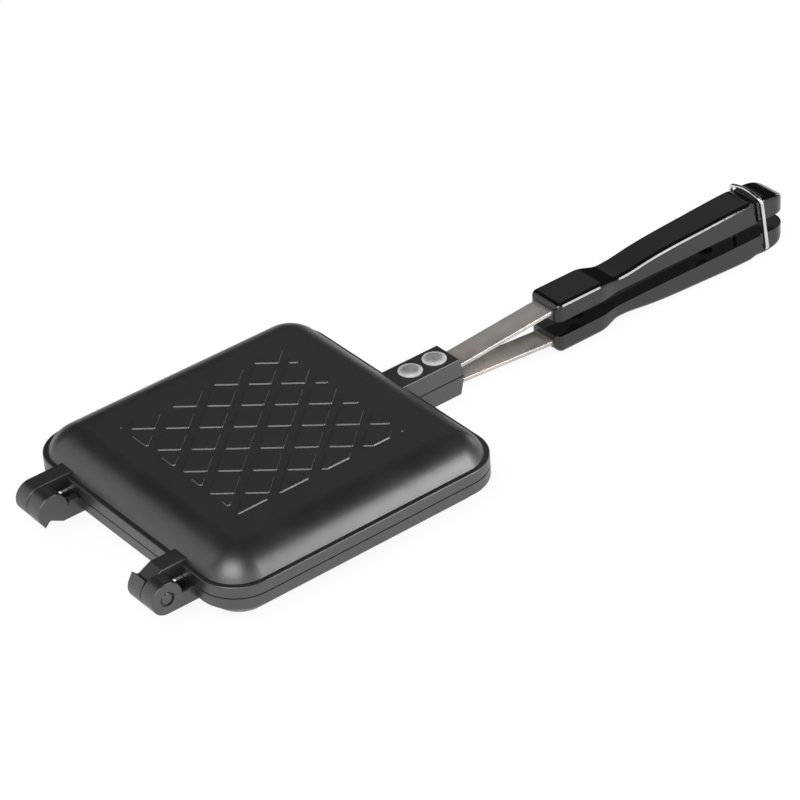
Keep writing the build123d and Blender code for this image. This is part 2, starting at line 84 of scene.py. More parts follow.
# Area lights: name, direction from the object, lean, distance, width, height and power.
# The strip draws the long highlight on the grips, the near one that on the near corner,
# and the rest give each side of the castings its own tone.
SOFTBOXES = (
    ("Strip softbox", (0.762, 0.531, 0.372), (0.438, 0.0, -0.899), 1.4, 0.30, 1.0, 11.3),
    ("Near softbox", (0.36, -0.675, 0.643), (0.0, 0.0, 1.0), 1.5, 1.2, 0.85, 12.0),
    ("High softbox", (0.31, -0.484, 0.816), (0.0, 0.0, 1.0), 1.5, 0.8, 0.6, 2.6),
    ("Front softbox", (-0.66, -0.56, 0.46), (0.0, 0.0, 1.0), 1.5, 0.8, 0.9, 2.1),
    ("Back softbox", (-0.20, 0.97, 0.15), (0.0, 0.0, 1.0), 1.5, 0.45, 0.30, 1.3),
    ("Far softbox", (-0.664, 0.491, 0.563), (0.0, 0.0, 1.0), 1.5, 0.7, 0.5, 0.24),
)

# How the studio's walls darken: upwards, and towards the side behind the object
WALL_SLANT = (-0.4, 0.3, 1.0)
WALL_TOP, CEILING_FROM = 0.03, 0.55

# Strap: where its bends lie, how finely they turn, how sharp an edge has to be to get rounded,
# as an angle in radians, and how finely that is done
FIRST_BEND_FROM_BOSS = 0.8 * MM
SECOND_BEND_FROM_GRIP = 1.2 * MM
BEND_STEPS = 6
STRAP_SHARP = 0.6
STRAP_EDGE_STEPS = 3

# Rivet's head: how finely it is turned, and its foot's small chamfer as shares of the rim
DOME_STEPS = 12
RIM_STEPS = 5
ROUND_STEPS = 64
FOOT_UP = 0.6
FOOT_IN = 0.3

# Rivet: radius of its shank and its flared tail, none of which shows
RIVET_SHANK = 2.5 * MM
RIVET_TAIL = 4.0 * MM
RIVET_TAIL_HEIGHT = 1.8 * MM
RIVET_TAIL_EDGE = 0.3 * MM

# Attribute of a rivet: how far a place lies from its middle, 1 at the rim. Past RIM_FROM its
# surface turns from mostly metallic to mostly diffuse, so that the rim reads lighter: a painted
# sheen.
FROM_MIDDLE = "from_middle"
RIM_FROM = 0.5
METAL_MIDDLE, METAL_RIM = 0.84, 0.38

# Sockets of a Mix node, which keeps one set for numbers and one for colours
MIX_FACTOR, VALUE_A, VALUE_B, COLOUR_A, COLOUR_B = 0, 2, 3, 6, 7
VALUE_OUT, COLOUR_OUT = 0, 2

# How much of the mottling's height comes from its coarse grain, next to the fine one
COARSE_IN_HEIGHT = 0.25

# Colour of the painted shade in the parting line, which stands in for the shade in the gap between
# the halves
PAINTED_SEAM_SHADE = (0.004, 0.004, 0.004)

# How far the painted shade reaches from the parting line, and how far from the hinge's axis it
# starts
SEAM_HALF_WIDTH = 0.5 * MM
SEAM_FROM_HINGE = 13.2 * MM

# Faces that lie flatter than this, as the cosine of their tilt, stay free of the painted shade
SEAM_FLATTEST = 0.9


# ---------------------------------------------------------------- settings

class PieIronSizes(bpy.types.PropertyGroup):
    strap_edge: bpy.props.FloatProperty(
        name="Strap edge", description="Rounding of the strap's long edges",
        default=0.28 * MM, min=0.0, max=0.9 * MM, subtype="DISTANCE", unit="LENGTH",
    )
    strap_thickness: bpy.props.FloatProperty(
        name="Strap thickness", description="Thickness of the strap's strip",
        default=2.0 * MM, min=0.5 * MM, max=4.0 * MM, subtype="DISTANCE", unit="LENGTH",
    )
    strap_bend: bpy.props.FloatProperty(
        name="Strap bend", description="Length over which a strap bends",
        default=7.0 * MM, min=1.0 * MM, max=20.0 * MM, subtype="DISTANCE", unit="LENGTH",
    )
    rivet_height: bpy.props.FloatProperty(
        name="Rivet height", description="How far a rivet's head stands above the boss",
        default=1.9 * MM, min=1.0 * MM, max=4.0 * MM, subtype="DISTANCE", unit="LENGTH",
    )
    rivet_rim: bpy.props.FloatProperty(
        name="Rivet rim", description="Rounding at the rim of a rivet's head",
        default=0.45 * MM, min=0.1 * MM, max=0.9 * MM, subtype="DISTANCE", unit="LENGTH",
    )


class PieIronFinishes(bpy.types.PropertyGroup):
    coat_colour: bpy.props.FloatVectorProperty(
        name="Coating", description="Colour of the coating on the castings",
        default=(0.012, 0.012, 0.0125), size=3, min=0.0, max=1.0, subtype="COLOR",
    )
    grip_colour: bpy.props.FloatVectorProperty(
        name="Grips", description="Colour of the moulded grips",
        default=(0.0040, 0.0036, 0.0035), size=3, min=0.0, max=1.0, subtype="COLOR",
    )
    strap_colour: bpy.props.FloatVectorProperty(
        name="Straps", description="Colour of the strap steel",
        default=(0.55, 0.508, 0.475), size=3, min=0.0, max=1.0, subtype="COLOR",
    )
    rivet_colour: bpy.props.FloatVectorProperty(
        name="Rivets", description="Colour of the rivet aluminium",
        default=(0.84, 0.84, 0.85), size=3, min=0.0, max=1.0, subtype="COLOR",
    )
    wire_colour: bpy.props.FloatVectorProperty(
        name="Bail", description="Colour of the bail wire",
        default=(0.72, 0.715, 0.70), size=3, min=0.0, max=1.0, subtype="COLOR",
    )
    screw_colour: bpy.props.FloatVectorProperty(
        name="Grip screws", description="Colour of the blackened grip screws",
        default=(0.022, 0.022, 0.024), size=3, min=0.0, max=1.0, subtype="COLOR",
    )


class PieIronStudio(bpy.types.PropertyGroup):
    ceiling: bpy.props.FloatProperty(
        name="Ceiling", description="Brightness of the studio above the object",
        default=0.02, min=0.0, max=1.0, subtype="FACTOR",
    )
    fill: bpy.props.FloatProperty(
        name="Fill", description="Plain light from all round",
        default=0.40, min=0.0, max=1.0, subtype="FACTOR",
    )


# ---------------------------------------------------------------- materials

def node(tree, kind, place, **values):
    """A shader node at a place, with named sockets and attributes set."""
    made = tree.nodes.new(kind)
    made.location = place
    for key, value in values.items():
        if hasattr(made, key):
            setattr(made, key, value)
        else:
            made.inputs[key.replace("_", " ")].default_value = value
    return made


def new_group(name, inputs, outputs):
    """An empty shader group with its sockets, and its two end nodes."""
    tree = bpy.data.node_groups.new(name, "ShaderNodeTree")
    for label, kind, default in inputs:
        socket = tree.interface.new_socket(label, in_out="INPUT", socket_type=kind)
        socket.default_value = default
    for label, kind in outputs:
        tree.interface.new_socket(label, in_out="OUTPUT", socket_type=kind)
    start = node(tree, "NodeGroupInput", (-900, 0))
    end = node(tree, "NodeGroupOutput", (700, 0))
    return tree, start, end


def mottle_group():
    """Two sizes of soft mottling, as one mask and one height."""
    tree, start, end = new_group(
        "Mottle",
        [("Coarse", "NodeSocketFloat", 60.0), ("Fine", "NodeSocketFloat", 1500.0)],
        [("Mask", "NodeSocketFloat"), ("Height", "NodeSocketFloat")],
    )
    link = tree.links.new
    place = node(tree, "ShaderNodeTexCoord", (-900, -300))
    coarse = node(tree, "ShaderNodeTexNoise", (-600, 200), Detail=4.0, Roughness=0.55)
    fine = node(tree, "ShaderNodeTexNoise", (-600, -200), Detail=3.0, Roughness=0.6)
    for noise, label in ((coarse, "Coarse"), (fine, "Fine")):
        link(place.outputs["Object"], noise.inputs["Vector"])
        link(start.outputs[label], noise.inputs["Scale"])
    contrast = node(tree, "ShaderNodeMapRange", (-300, 200), From_Min=0.3, From_Max=0.7)
    link(coarse.outputs["Fac"], contrast.inputs["Value"])
    both = node(tree, "ShaderNodeMath", (0, -100), operation="MULTIPLY_ADD")
    both.inputs[1].default_value = COARSE_IN_HEIGHT
    link(contrast.outputs["Result"], both.inputs[0])
    link(fine.outputs["Fac"], both.inputs[2])
    link(contrast.outputs["Result"], end.inputs["Mask"])
    link(both.outputs["Value"], end.inputs["Height"])


def brushed_group():
    """Fine lines along Y as a height, and a few rubbed patches as a mask."""
    tree, start, end = new_group(
        "Brushed",
        [("Lines", "NodeSocketFloat", 900.0), ("Stretch", "NodeSocketFloat", 0.03)],
        [("Patches", "NodeSocketFloat"), ("Height", "NodeSocketFloat")],
    )
    link = tree.links.new
    place = node(tree, "ShaderNodeTexCoord", (-900, -300))
    scale = node(tree, "ShaderNodeCombineXYZ", (-900, -500), X=1.0, Z=1.0)
    link(start.outputs["Stretch"], scale.inputs["Y"])
    along = node(tree, "ShaderNodeVectorMath", (-700, -300), operation="MULTIPLY")
    link(place.outputs["Object"], along.inputs[0])
    link(scale.outputs["Vector"], along.inputs[1])
    lines = node(tree, "ShaderNodeTexNoise", (-450, 100), Detail=4.0, Roughness=0.65)
    link(along.outputs["Vector"], lines.inputs["Vector"])
    link(start.outputs["Lines"], lines.inputs["Scale"])
    patches = node(
        tree, "ShaderNodeTexNoise", (-450, -300), Scale=70.0, Detail=3.0, Distortion=0.6,
    )
    link(place.outputs["Object"], patches.inputs["Vector"])
    sharpen = node(tree, "ShaderNodeMapRange", (-150, -300), From_Min=0.38, From_Max=0.66)
    link(patches.outputs["Fac"], sharpen.inputs["Value"])
    link(sharpen.outputs["Result"], end.inputs["Patches"])
    link(lines.outputs["Fac"], end.inputs["Height"])


def seam_group(level, first):
    """Painted shade along the line where the halves meet, on their sides only and clear of the
    hinge.
    """
    tree, start, end = new_group(
        "Seam",
        [
            ("Level", "NodeSocketFloat", level),
            ("First", "NodeSocketFloat", first),
            ("Half Width", "NodeSocketFloat", SEAM_HALF_WIDTH),
        ],
        [("Mask", "NodeSocketFloat")],
    )
    link = tree.links.new
    place = node(tree, "ShaderNodeTexCoord", (-900, -300))
    split = node(tree, "ShaderNodeSeparateXYZ", (-650, -300))
    link(place.outputs["Object"], split.inputs["Vector"])
    away = node(tree, "ShaderNodeMath", (-400, -100), operation="SUBTRACT")
    link(split.outputs["Z"], away.inputs[0])
    link(start.outputs["Level"], away.inputs[1])
    distance = node(tree, "ShaderNodeMath", (-200, -100), operation="ABSOLUTE")
    link(away.outputs["Value"], distance.inputs[0])
    fade = node(
        tree, "ShaderNodeMapRange", (100, 0), interpolation_type="SMOOTHSTEP",
        To_Min=1.0, To_Max=0.0,
    )
    link(distance.outputs["Value"], fade.inputs["Value"])
    link(start.outputs["Half Width"], fade.inputs["From Max"])
    ahead = node(tree, "ShaderNodeMath", (-200, -400), operation="GREATER_THAN")
    link(split.outputs["Y"], ahead.inputs[0])
    link(start.outputs["First"], ahead.inputs[1])
    facing = node(tree, "ShaderNodeSeparateXYZ", (-650, -600))
    link(place.outputs["Normal"], facing.inputs["Vector"])
    tilt = node(tree, "ShaderNodeMath", (-400, -600), operation="ABSOLUTE")
    link(facing.outputs["Z"], tilt.inputs[0])
    side = node(tree, "ShaderNodeMath", (-200, -600), operation="LESS_THAN")
    side.inputs[1].default_value = SEAM_FLATTEST
    link(tilt.outputs["Value"], side.inputs[0])
    found = node(tree, "ShaderNodeMath", (100, -400), operation="MULTIPLY")
    link(ahead.outputs["Value"], found.inputs[0])
    link(side.outputs["Value"], found.inputs[1])
    mask = node(tree, "ShaderNodeMath", (400, -100), operation="MULTIPLY")
    link(fade.outputs["Result"], mask.inputs[0])
    link(found.outputs["Value"], mask.inputs[1])
    link(mask.outputs["Value"], end.inputs["Mask"])


def mottled(tree, coarse, fine):
    """The mottle group, placed with its two sizes of grain."""
    group = node(tree, "ShaderNodeGroup", (-500, 0), node_tree=bpy.data.node_groups["Mottle"])
    group.inputs["Coarse"].default_value = coarse
    group.inputs["Fine"].default_value = fine
    return group.outputs["Mask"], group.outputs["Height"]


def base_material(name, ior, metallic=0.0):
    """A material with its shader and output, ready for its groups."""
    material = bpy.data.materials.new(name)
    material.use_nodes = True
    tree = material.node_tree
    tree.nodes.clear()
    shader = node(tree, "ShaderNodeBsdfPrincipled", (300, 0), Metallic=metallic, IOR=ior)
    output = node(tree, "ShaderNodeOutputMaterial", (650, 0))
    tree.links.new(shader.outputs["BSDF"], output.inputs["Surface"])
    return material, tree, shader


def vary(tree, mask, low, high, socket, place):
    """Drives a socket between two values by a mask."""
    ramp = node(tree, "ShaderNodeMapRange", place, To_Min=low, To_Max=high)
    tree.links.new(mask, ramp.inputs["Value"])
    tree.links.new(ramp.outputs["Result"], socket)


def blend(tree, mask, dark, light, place):
    """A colour that goes from one to another by a mask."""
    mix = node(tree, "ShaderNodeMix", place, data_type="RGBA")
    mix.inputs[COLOUR_A].default_value = (*dark, 1.0)
    mix.inputs[COLOUR_B].default_value = (*light, 1.0)
    tree.links.new(mask, mix.inputs[MIX_FACTOR])
    return mix


def shade(colour, amount):
    """A colour made darker or lighter by a factor."""
    return tuple(min(1.0, part * amount) for part in colour)


def tint(tree, mask, colour, shader, darker, lighter):
    """Drives the shader's base colour between two shades of a colour by a mask."""
    mix = blend(tree, mask, shade(colour, darker), shade(colour, lighter), (0, 250))
    tree.links.new(mix.outputs[COLOUR_OUT], shader.inputs["Base Color"])


def roughen(tree, mask, shader, smoothest, roughest):
    """Drives the shader's roughness between two values by a mask."""
    vary(tree, mask, smoothest, roughest, shader.inputs["Roughness"], (0, 0))


def relief(tree, height, shader, distance, strength):
    """Bump from a height into the shader's normal."""
    bump = node(tree, "ShaderNodeBump", (0, -300), Strength=strength, Distance=distance)
    tree.links.new(height, bump.inputs["Height"])
    tree.links.new(bump.outputs["Normal"], shader.inputs["Normal"])


def coated_casting(name, colour):
    """Fine-grained dark non-stick coating over cast aluminium, with painted shade in the parting
    line.

    The painted shade is metallic and quite rough, so that it is nearly black in its reflections
    too.
    """
    material, tree, shader = base_material(name, ior=1.9)
    link = tree.links.new
    mask, height = mottled(tree, coarse=55.0, fine=3800.0)
    # Painted shade: the parting line is darkened, and made metallic and rough so that it stays
    # dark in reflections, for the shade in the gap between the halves
    seam = node(tree, "ShaderNodeGroup", (-500, -200), node_tree=bpy.data.node_groups["Seam"])
    seam_shade = seam.outputs["Mask"]
    coat = blend(tree, mask, shade(colour, 0.85), shade(colour, 1.2), (-250, 450))
    shaded_coat = node(tree, "ShaderNodeMix", (0, 450), data_type="RGBA")
    shaded_coat.inputs[COLOUR_B].default_value = (*PAINTED_SEAM_SHADE, 1.0)
    link(seam_shade, shaded_coat.inputs[MIX_FACTOR])
    link(coat.outputs[COLOUR_OUT], shaded_coat.inputs[COLOUR_A])
    link(shaded_coat.outputs[COLOUR_OUT], shader.inputs["Base Color"])
    link(seam_shade, shader.inputs["Metallic"])
    shaded_roughness = node(tree, "ShaderNodeMix", (0, 0), data_type="FLOAT")
    shaded_roughness.inputs[VALUE_B].default_value = 1.0
    link(seam_shade, shaded_roughness.inputs[MIX_FACTOR])
    vary(tree, mask, low=0.35, high=0.42, socket=shaded_roughness.inputs[VALUE_A], place=(-250, 0))
    link(shaded_roughness.outputs[VALUE_OUT], shader.inputs["Roughness"])
    relief(tree, height, shader, distance=0.06 * MM, strength=0.3)
    return material


def moulded_grip(name, colour):
    """Glossy moulded phenolic with faint flow marks."""
    material, tree, shader = base_material(name, ior=1.6)
    mask, height = mottled(tree, coarse=45.0, fine=420.0)
    tint(tree, mask, colour, shader, darker=0.85, lighter=1.25)
    roughen(tree, mask, shader, smoothest=0.09, roughest=0.14)
    relief(tree, height, shader, distance=0.02 * MM, strength=0.12)
    return material


def rolled_steel(name, colour):
    """Bright rolled strip with lines along it and a few dull patches."""
    material, tree, shader = base_material(name, ior=1.5, metallic=0.66)
    brushed = node(tree, "ShaderNodeGroup", (-500, 0), node_tree=bpy.data.node_groups["Brushed"])
    patches = brushed.outputs["Patches"]
    tint(tree, patches, colour, shader, darker=0.86, lighter=1.06)
    roughen(tree, patches, shader, smoothest=0.20, roughest=0.32)
    relief(tree, brushed.outputs["Height"], shader, distance=0.04 * MM, strength=0.25)
    return material


def tumbled_aluminium(name, colour):
    """Satin aluminium with the small dents of a set rivet, less metallic towards its rim so that
    the rim reads lighter, as a painted sheen.
    """
    material, tree, shader = base_material(name, ior=1.5)
    mask, height = mottled(tree, coarse=420.0, fine=1600.0)
    reach = node(tree, "ShaderNodeAttribute", (-750, 400), attribute_name=FROM_MIDDLE)
    rim = node(
        tree, "ShaderNodeMapRange", (-500, 400), interpolation_type="SMOOTHSTEP",
        From_Min=RIM_FROM,
    )
    tree.links.new(reach.outputs["Fac"], rim.inputs["Value"])
    # Painted sheen: the rim turns less metallic, so that it reads lighter than the middle
    vary(tree, rim.outputs["Result"], METAL_MIDDLE, METAL_RIM, shader.inputs["Metallic"], (0, 500))
    tint(tree, mask, colour, shader, darker=0.84, lighter=1.08)
    roughen(tree, mask, shader, smoothest=0.32, roughest=0.46)
    relief(tree, height, shader, distance=0.12 * MM, strength=0.3)
    return material


def drawn_wire(name, colour, rough):
    """Polished drawn wire or turned steel with faint wear."""
    material, tree, shader = base_material(name, ior=1.5, metallic=1.0)
    mask, height = mottled(tree, coarse=260.0, fine=2400.0)
    tint(tree, mask, colour, shader, darker=0.9, lighter=1.05)
    roughen(tree, mask, shader, smoothest=rough, roughest=rough + 0.1)
    relief(tree, height, shader, distance=0.02 * MM, strength=0.15)
    return material


def finish_node(name, material):
    """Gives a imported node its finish."""
    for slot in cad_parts[name].material_slots:
        slot.material = material


# ---------------------------------------------------------------- shaping

def only(items, kind):
    """The vertices, edges or faces among what an operator returns."""
    return [item for item in items if isinstance(item, kind)]


def start_at(bm, point):
    """First vertex of an outline."""
    return bmesh.ops.create_vert(bm, co=point)["vert"][0]


def draw_to(bm, vert, point):
    """Straight edge from the end of an outline to a point."""
    grown = bmesh.ops.extrude_vert_indiv(bm, verts=[vert])
    end = grown["verts"][0]
    bmesh.ops.translate(bm, verts=[end], vec=Vector(point) - end.co)
    return end


def draw_arc(bm, vert, centre, axis, angle, steps):
    """Arc that carries on an outline from its end."""
    swept = bmesh.ops.spin(bm, geom=[vert], cent=centre, axis=axis, angle=angle, steps=steps)
    return only(swept["geom_last"], bmesh.types.BMVert)[0]


def turn_full(bm, steps):
    """Turns an outline in the XZ plane a whole round about Z."""
    outline = bm.verts[:] + bm.edges[:]
    bmesh.ops.spin(
        bm, geom=outline, cent=(0, 0, 0), axis=(0, 0, 1), angle=math.tau, steps=steps,
        use_merge=True,
    )


def close_up(bm):
    """Merges doubles and turns every face outwards."""
    bmesh.ops.remove_doubles(bm, verts=bm.verts[:], dist=MERGE_DISTANCE)
    bmesh.ops.recalc_face_normals(bm, faces=bm.faces[:])


def add_piece(name, bm, material, body, stands_for):
    """Makes the finished object, smooth except at its creases, riding on its body."""
    close_up(bm)
    for face in bm.faces:
        face.smooth = True
    for edge in bm.edges:
        edge.smooth = edge.is_manifold and edge.calc_face_angle() < CREASE
    mesh = bpy.data.meshes.new(name)
    bm.to_mesh(mesh)
    bm.free()
    mesh.materials.append(material)
    piece = bpy.data.objects.new(name, mesh)
    bpy.context.scene.collection.objects.link(piece)
    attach(piece, body)
    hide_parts(stands_for)


def middle(name):
    """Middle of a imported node's box."""
    low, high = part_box(name)
    return (low + high) / 2


def halfway_up():
    """Level where the two halves meet."""
    return (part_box("upper_grip")[0].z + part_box("lower_grip")[1].z) / 2


def turn_over(bm, half):
    """Turns a piece shaped for the upper half over, for the lower one."""
    if half == "lower":
        level = (0, 0, halfway_up())
        over = Matrix.Rotation(math.pi, 3, "Y")
        bmesh.ops.rotate(bm, verts=bm.verts[:], cent=level, matrix=over)


# ---------------------------------------------------------------- operators

class PIEIRON_OT_castings(bpy.types.Operator):
    """Coat the two cast plates and their hinge pins"""
    bl_idname = "pieiron.castings"
    bl_label = "Castings"

    def execute(self, context):
        finishes = context.scene.pie_iron_finishes
        material = coated_casting("Coated casting", finishes.coat_colour)
        for half in HALVES:
            finish_node(f"{half}_plate", material)
            finish_node(f"{half}_hinge_pin", material)
        return {"FINISHED"}


class PIEIRON_OT_straps(bpy.types.Operator):
    """Make the two steel straps with soft bends and rolled edges"""
    bl_idname = "pieiron.straps"
    bl_label = "Straps"

    def execute(self, context):
        sizes = context.scene.pie_iron_sizes
        finishes = context.scene.pie_iron_finishes
        material = rolled_steel("Strap steel", finishes.strap_colour)
        for half in HALVES:
            bm = strap_shape(sizes)
            turn_over(bm, half)
            add_piece(
                f"{half}_strap_bar", bm, material, f"{half}_half", f"{half}_strap",
            )
        return {"FINISHED"}


def past_bend(y, bend, half_bend):
    """How far a place lies past a bend, eased in over the bend's length."""
    over = y - bend
    if over <= -half_bend:
        return 0.0
    if over >= half_bend:
        return over
    return (over + half_bend) ** 2 / (4 * half_bend)


def strap_line(sizes):
    """Places along the upper strap, each with the level of its lower face there.

    The strap leaves the boss level, slopes up from its first bend and is level again after its
    second one, in the grip.
    """
    low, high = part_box("upper_strap")
    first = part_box("upper_plate")[1].y + FIRST_BEND_FROM_BOSS
    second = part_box("upper_grip")[0].y - SECOND_BEND_FROM_GRIP
    half_bend = sizes.strap_bend / 2
    slope = (high.z - sizes.strap_thickness - low.z) / (second - first)
    places = [low.y]
    for bend in (first, second):
        places += [
            bend - half_bend + sizes.strap_bend * step / BEND_STEPS
            for step in range(BEND_STEPS + 1)
        ]
    places.append(high.y)
    return [
        (y, low.z + slope * (past_bend(y, first, half_bend) - past_bend(y, second, half_bend)))
        for y in places
    ]


def strap_shape(sizes):
    """Bar of one rectangle carried along the upper strap's line."""
    low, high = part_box("upper_strap")
    line = strap_line(sizes)
    root_y, root_level = line[0]
    bm = bmesh.new()
    start = Matrix.Translation((0, root_y, root_level + sizes.strap_thickness / 2))
    upright = start @ Matrix.Rotation(math.pi / 2, 4, "X")
    bmesh.ops.create_grid(bm, x_segments=1, y_segments=1, size=0.5, matrix=upright)
    section = (high.x - low.x, 1, sizes.strap_thickness)
    bmesh.ops.scale(bm, verts=bm.verts[:], vec=section, space=start.inverted())
    face = bm.faces[:][0]
    for (y, level), (next_y, next_level) in zip(line, line[1:]):
        grown = bmesh.ops.extrude_face_region(bm, geom=[face])["geom"]
        step = (0, next_y - y, next_level - level)
        bmesh.ops.translate(bm, verts=only(grown, bmesh.types.BMVert), vec=step)
        if face.is_valid and y != root_y:
            bmesh.ops.delete(bm, geom=[face], context="FACES_ONLY")
        face = only(grown, bmesh.types.BMFace)[0]
    bmesh.ops.recalc_face_normals(bm, faces=bm.faces[:])
    sharp = [
        edge for edge in bm.edges if edge.is_manifold and edge.calc_face_angle() > STRAP_SHARP
    ]
    bmesh.ops.bevel(
        bm, geom=sharp, offset=sizes.strap_edge, affect="EDGES", segments=STRAP_EDGE_STEPS,
        profile=0.5, material=-1,
    )
    return bm


class PIEIRON_OT_rivets(bpy.types.Operator):
    """Make the four rivets, each a dome with a rounded rim, a shank and a tail"""
    bl_idname = "pieiron.rivets"
    bl_label = "Rivets"

    def execute(self, context):
        sizes = context.scene.pie_iron_sizes
        finishes = context.scene.pie_iron_finishes
        material = tumbled_aluminium("Rivet aluminium", finishes.rivet_colour)
        for half in HALVES:
            for place in ("front", "rear"):
                bm = rivet_shape(sizes, middle(f"upper_rivet_{place}").y)
                turn_over(bm, half)
                add_piece(
                    f"{half}_{place}_rivet_head", bm, material, f"{half}_half",
                    f"{half}_rivet_{place}",
                )
        return {"FINISHED"}


def rivet_shape(sizes, y):
    """Turned rivet standing on the upper boss at a place along the handle."""
    low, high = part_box("upper_rivet_front")
    radius = (high.x - low.x) / 2
    sag = sizes.rivet_height
    seat = high.z - sag
    rim = sizes.rivet_rim
    ball = ((radius - rim) ** 2 + (sag - rim) ** 2) / (2 * (sag - rim))
    lean = math.asin((radius - rim) / ball)
    down = (0, 1, 0)
    bm = bmesh.new()
    end = start_at(bm, (0, 0, high.z))
    end = draw_arc(bm, end, (0, 0, high.z - ball), down, lean, DOME_STEPS)
    rim_turn = math.pi / 2 - lean * 0.5
    end = draw_arc(bm, end, (radius - rim, 0, seat + rim), down, rim_turn, RIM_STEPS)
    end = draw_to(bm, end, (radius, 0, seat + rim * FOOT_UP))
    end = draw_to(bm, end, (radius - rim * FOOT_IN, 0, seat))
    end = draw_to(bm, end, (RIVET_SHANK, 0, seat))
    end = draw_to(bm, end, (RIVET_SHANK, 0, low.z + RIVET_TAIL_HEIGHT))
    end = draw_to(bm, end, (RIVET_TAIL, 0, low.z))
    end = draw_to(bm, end, (RIVET_TAIL - RIVET_TAIL_EDGE, 0, low.z))
    draw_to(bm, end, (0, 0, low.z))
    turn_full(bm, ROUND_STEPS)
    reach = bm.verts.layers.float.new(FROM_MIDDLE)
    for vert in bm.verts:
        vert[reach] = vert.co.xy.length / radius
    bmesh.ops.translate(bm, verts=bm.verts[:], vec=(0, y, 0))
    return bm


class PIEIRON_OT_grips(bpy.types.Operator):
    """Give the two moulded grips their gloss"""
    bl_idname = "pieiron.grips"
    bl_label = "Grips"

    def execute(self, context):
        finishes = context.scene.pie_iron_finishes
        material = moulded_grip("Grip phenolic", finishes.grip_colour)
        for half in HALVES:
            finish_node(f"{half}_grip", material)
        return {"FINISHED"}


class PIEIRON_OT_screws(bpy.types.Operator):
    """Finish the four grip screws"""
    bl_idname = "pieiron.screws"
    bl_label = "Grip screws"

    def execute(self, context):
        finishes = context.scene.pie_iron_finishes
        material = drawn_wire("Blackened screw steel", finishes.screw_colour, rough=0.34)
        for half in HALVES:
            for place in ("front", "rear"):
                finish_node(f"{half}_grip_screw_{place}", material)
        return {"FINISHED"}


class PIEIRON_OT_bail(bpy.types.Operator):
    """Finish the wire bail"""
    bl_idname = "pieiron.bail"
    bl_label = "Bail"

    def execute(self, context):
        finishes = context.scene.pie_iron_finishes
        material = drawn_wire("Bail wire", finishes.wire_colour, rough=0.14)
        finish_node("latch_bail", material)
        return {"FINISHED"}


class PIEIRON_OT_studio(bpy.types.Operator):
    """Set out the floor, the lights and the camera"""
    bl_idname = "pieiron.studio"
    bl_label = "Studio"

    def execute(self, context):
        studio = context.scene.pie_iron_studio
        lay_floor()
        light_world(studio)
        for box in SOFTBOXES:
            hang_softbox(*box)
        stand_camera()
        context.scene.view_settings.view_transform = "Standard"
        return {"FINISHED"}


def seen_share(tree, place):
    """How much of the floor's own white the camera sees, and how much gloss and glass see."""
    path = node(tree, "ShaderNodeLightPath", place)
    bounced = node(tree, "ShaderNodeMath", (place[0] + 250, place[1]), operation="MAXIMUM")
    tree.links.new(path.outputs["Is Glossy Ray"], bounced.inputs[0])
    tree.links.new(path.outputs["Is Transmission Ray"], bounced.inputs[1])
    part = node(tree, "ShaderNodeMath", (place[0] + 450, place[1]), operation="MULTIPLY")
    part.inputs[1].default_value = FLOOR_IN_GLOSS
    tree.links.new(bounced.outputs["Value"], part.inputs[0])
    share = node(tree, "ShaderNodeMath", (place[0] + 650, place[1]), operation="MULTIPLY_ADD")
    share.inputs[1].default_value = FLOOR_IN_VIEW
    tree.links.new(path.outputs["Is Camera Ray"], share.inputs[0])
    tree.links.new(part.outputs["Value"], share.inputs[2])
    return share.outputs["Value"]


def lay_floor():
    """Pale floor that shows white and keeps a soft shadow."""
    bm = bmesh.new()
    bmesh.ops.create_grid(bm, x_segments=1, y_segments=1, size=FLOOR_SIZE / 2)
    mesh = bpy.data.meshes.new("floor")
    bm.to_mesh(mesh)
    bm.free()
    floor = bpy.data.objects.new("floor", mesh)
    bpy.context.scene.collection.objects.link(floor)
    material = bpy.data.materials.new("Pale floor")
    material.use_nodes = True
    tree = material.node_tree
    tree.nodes.clear()
    white = (FLOOR_WHITE, FLOOR_WHITE, FLOOR_WHITE, 1.0)
    matt = node(tree, "ShaderNodeBsdfDiffuse", (0, 100), Color=white)
    glow = node(
        tree, "ShaderNodeEmission", (0, -100), Color=(1.0, 1.0, 1.0, 1.0), Strength=FLOOR_GLOW,
    )
    mix = node(tree, "ShaderNodeMixShader", (250, 0))
    tree.links.new(seen_share(tree, (-600, 300)), mix.inputs["Fac"])
    tree.links.new(matt.outputs["BSDF"], mix.inputs[1])
    tree.links.new(glow.outputs["Emission"], mix.inputs[2])
    output = node(tree, "ShaderNodeOutputMaterial", (500, 0))
    tree.links.new(mix.outputs["Shader"], output.inputs["Surface"])
    mesh.materials.append(material)


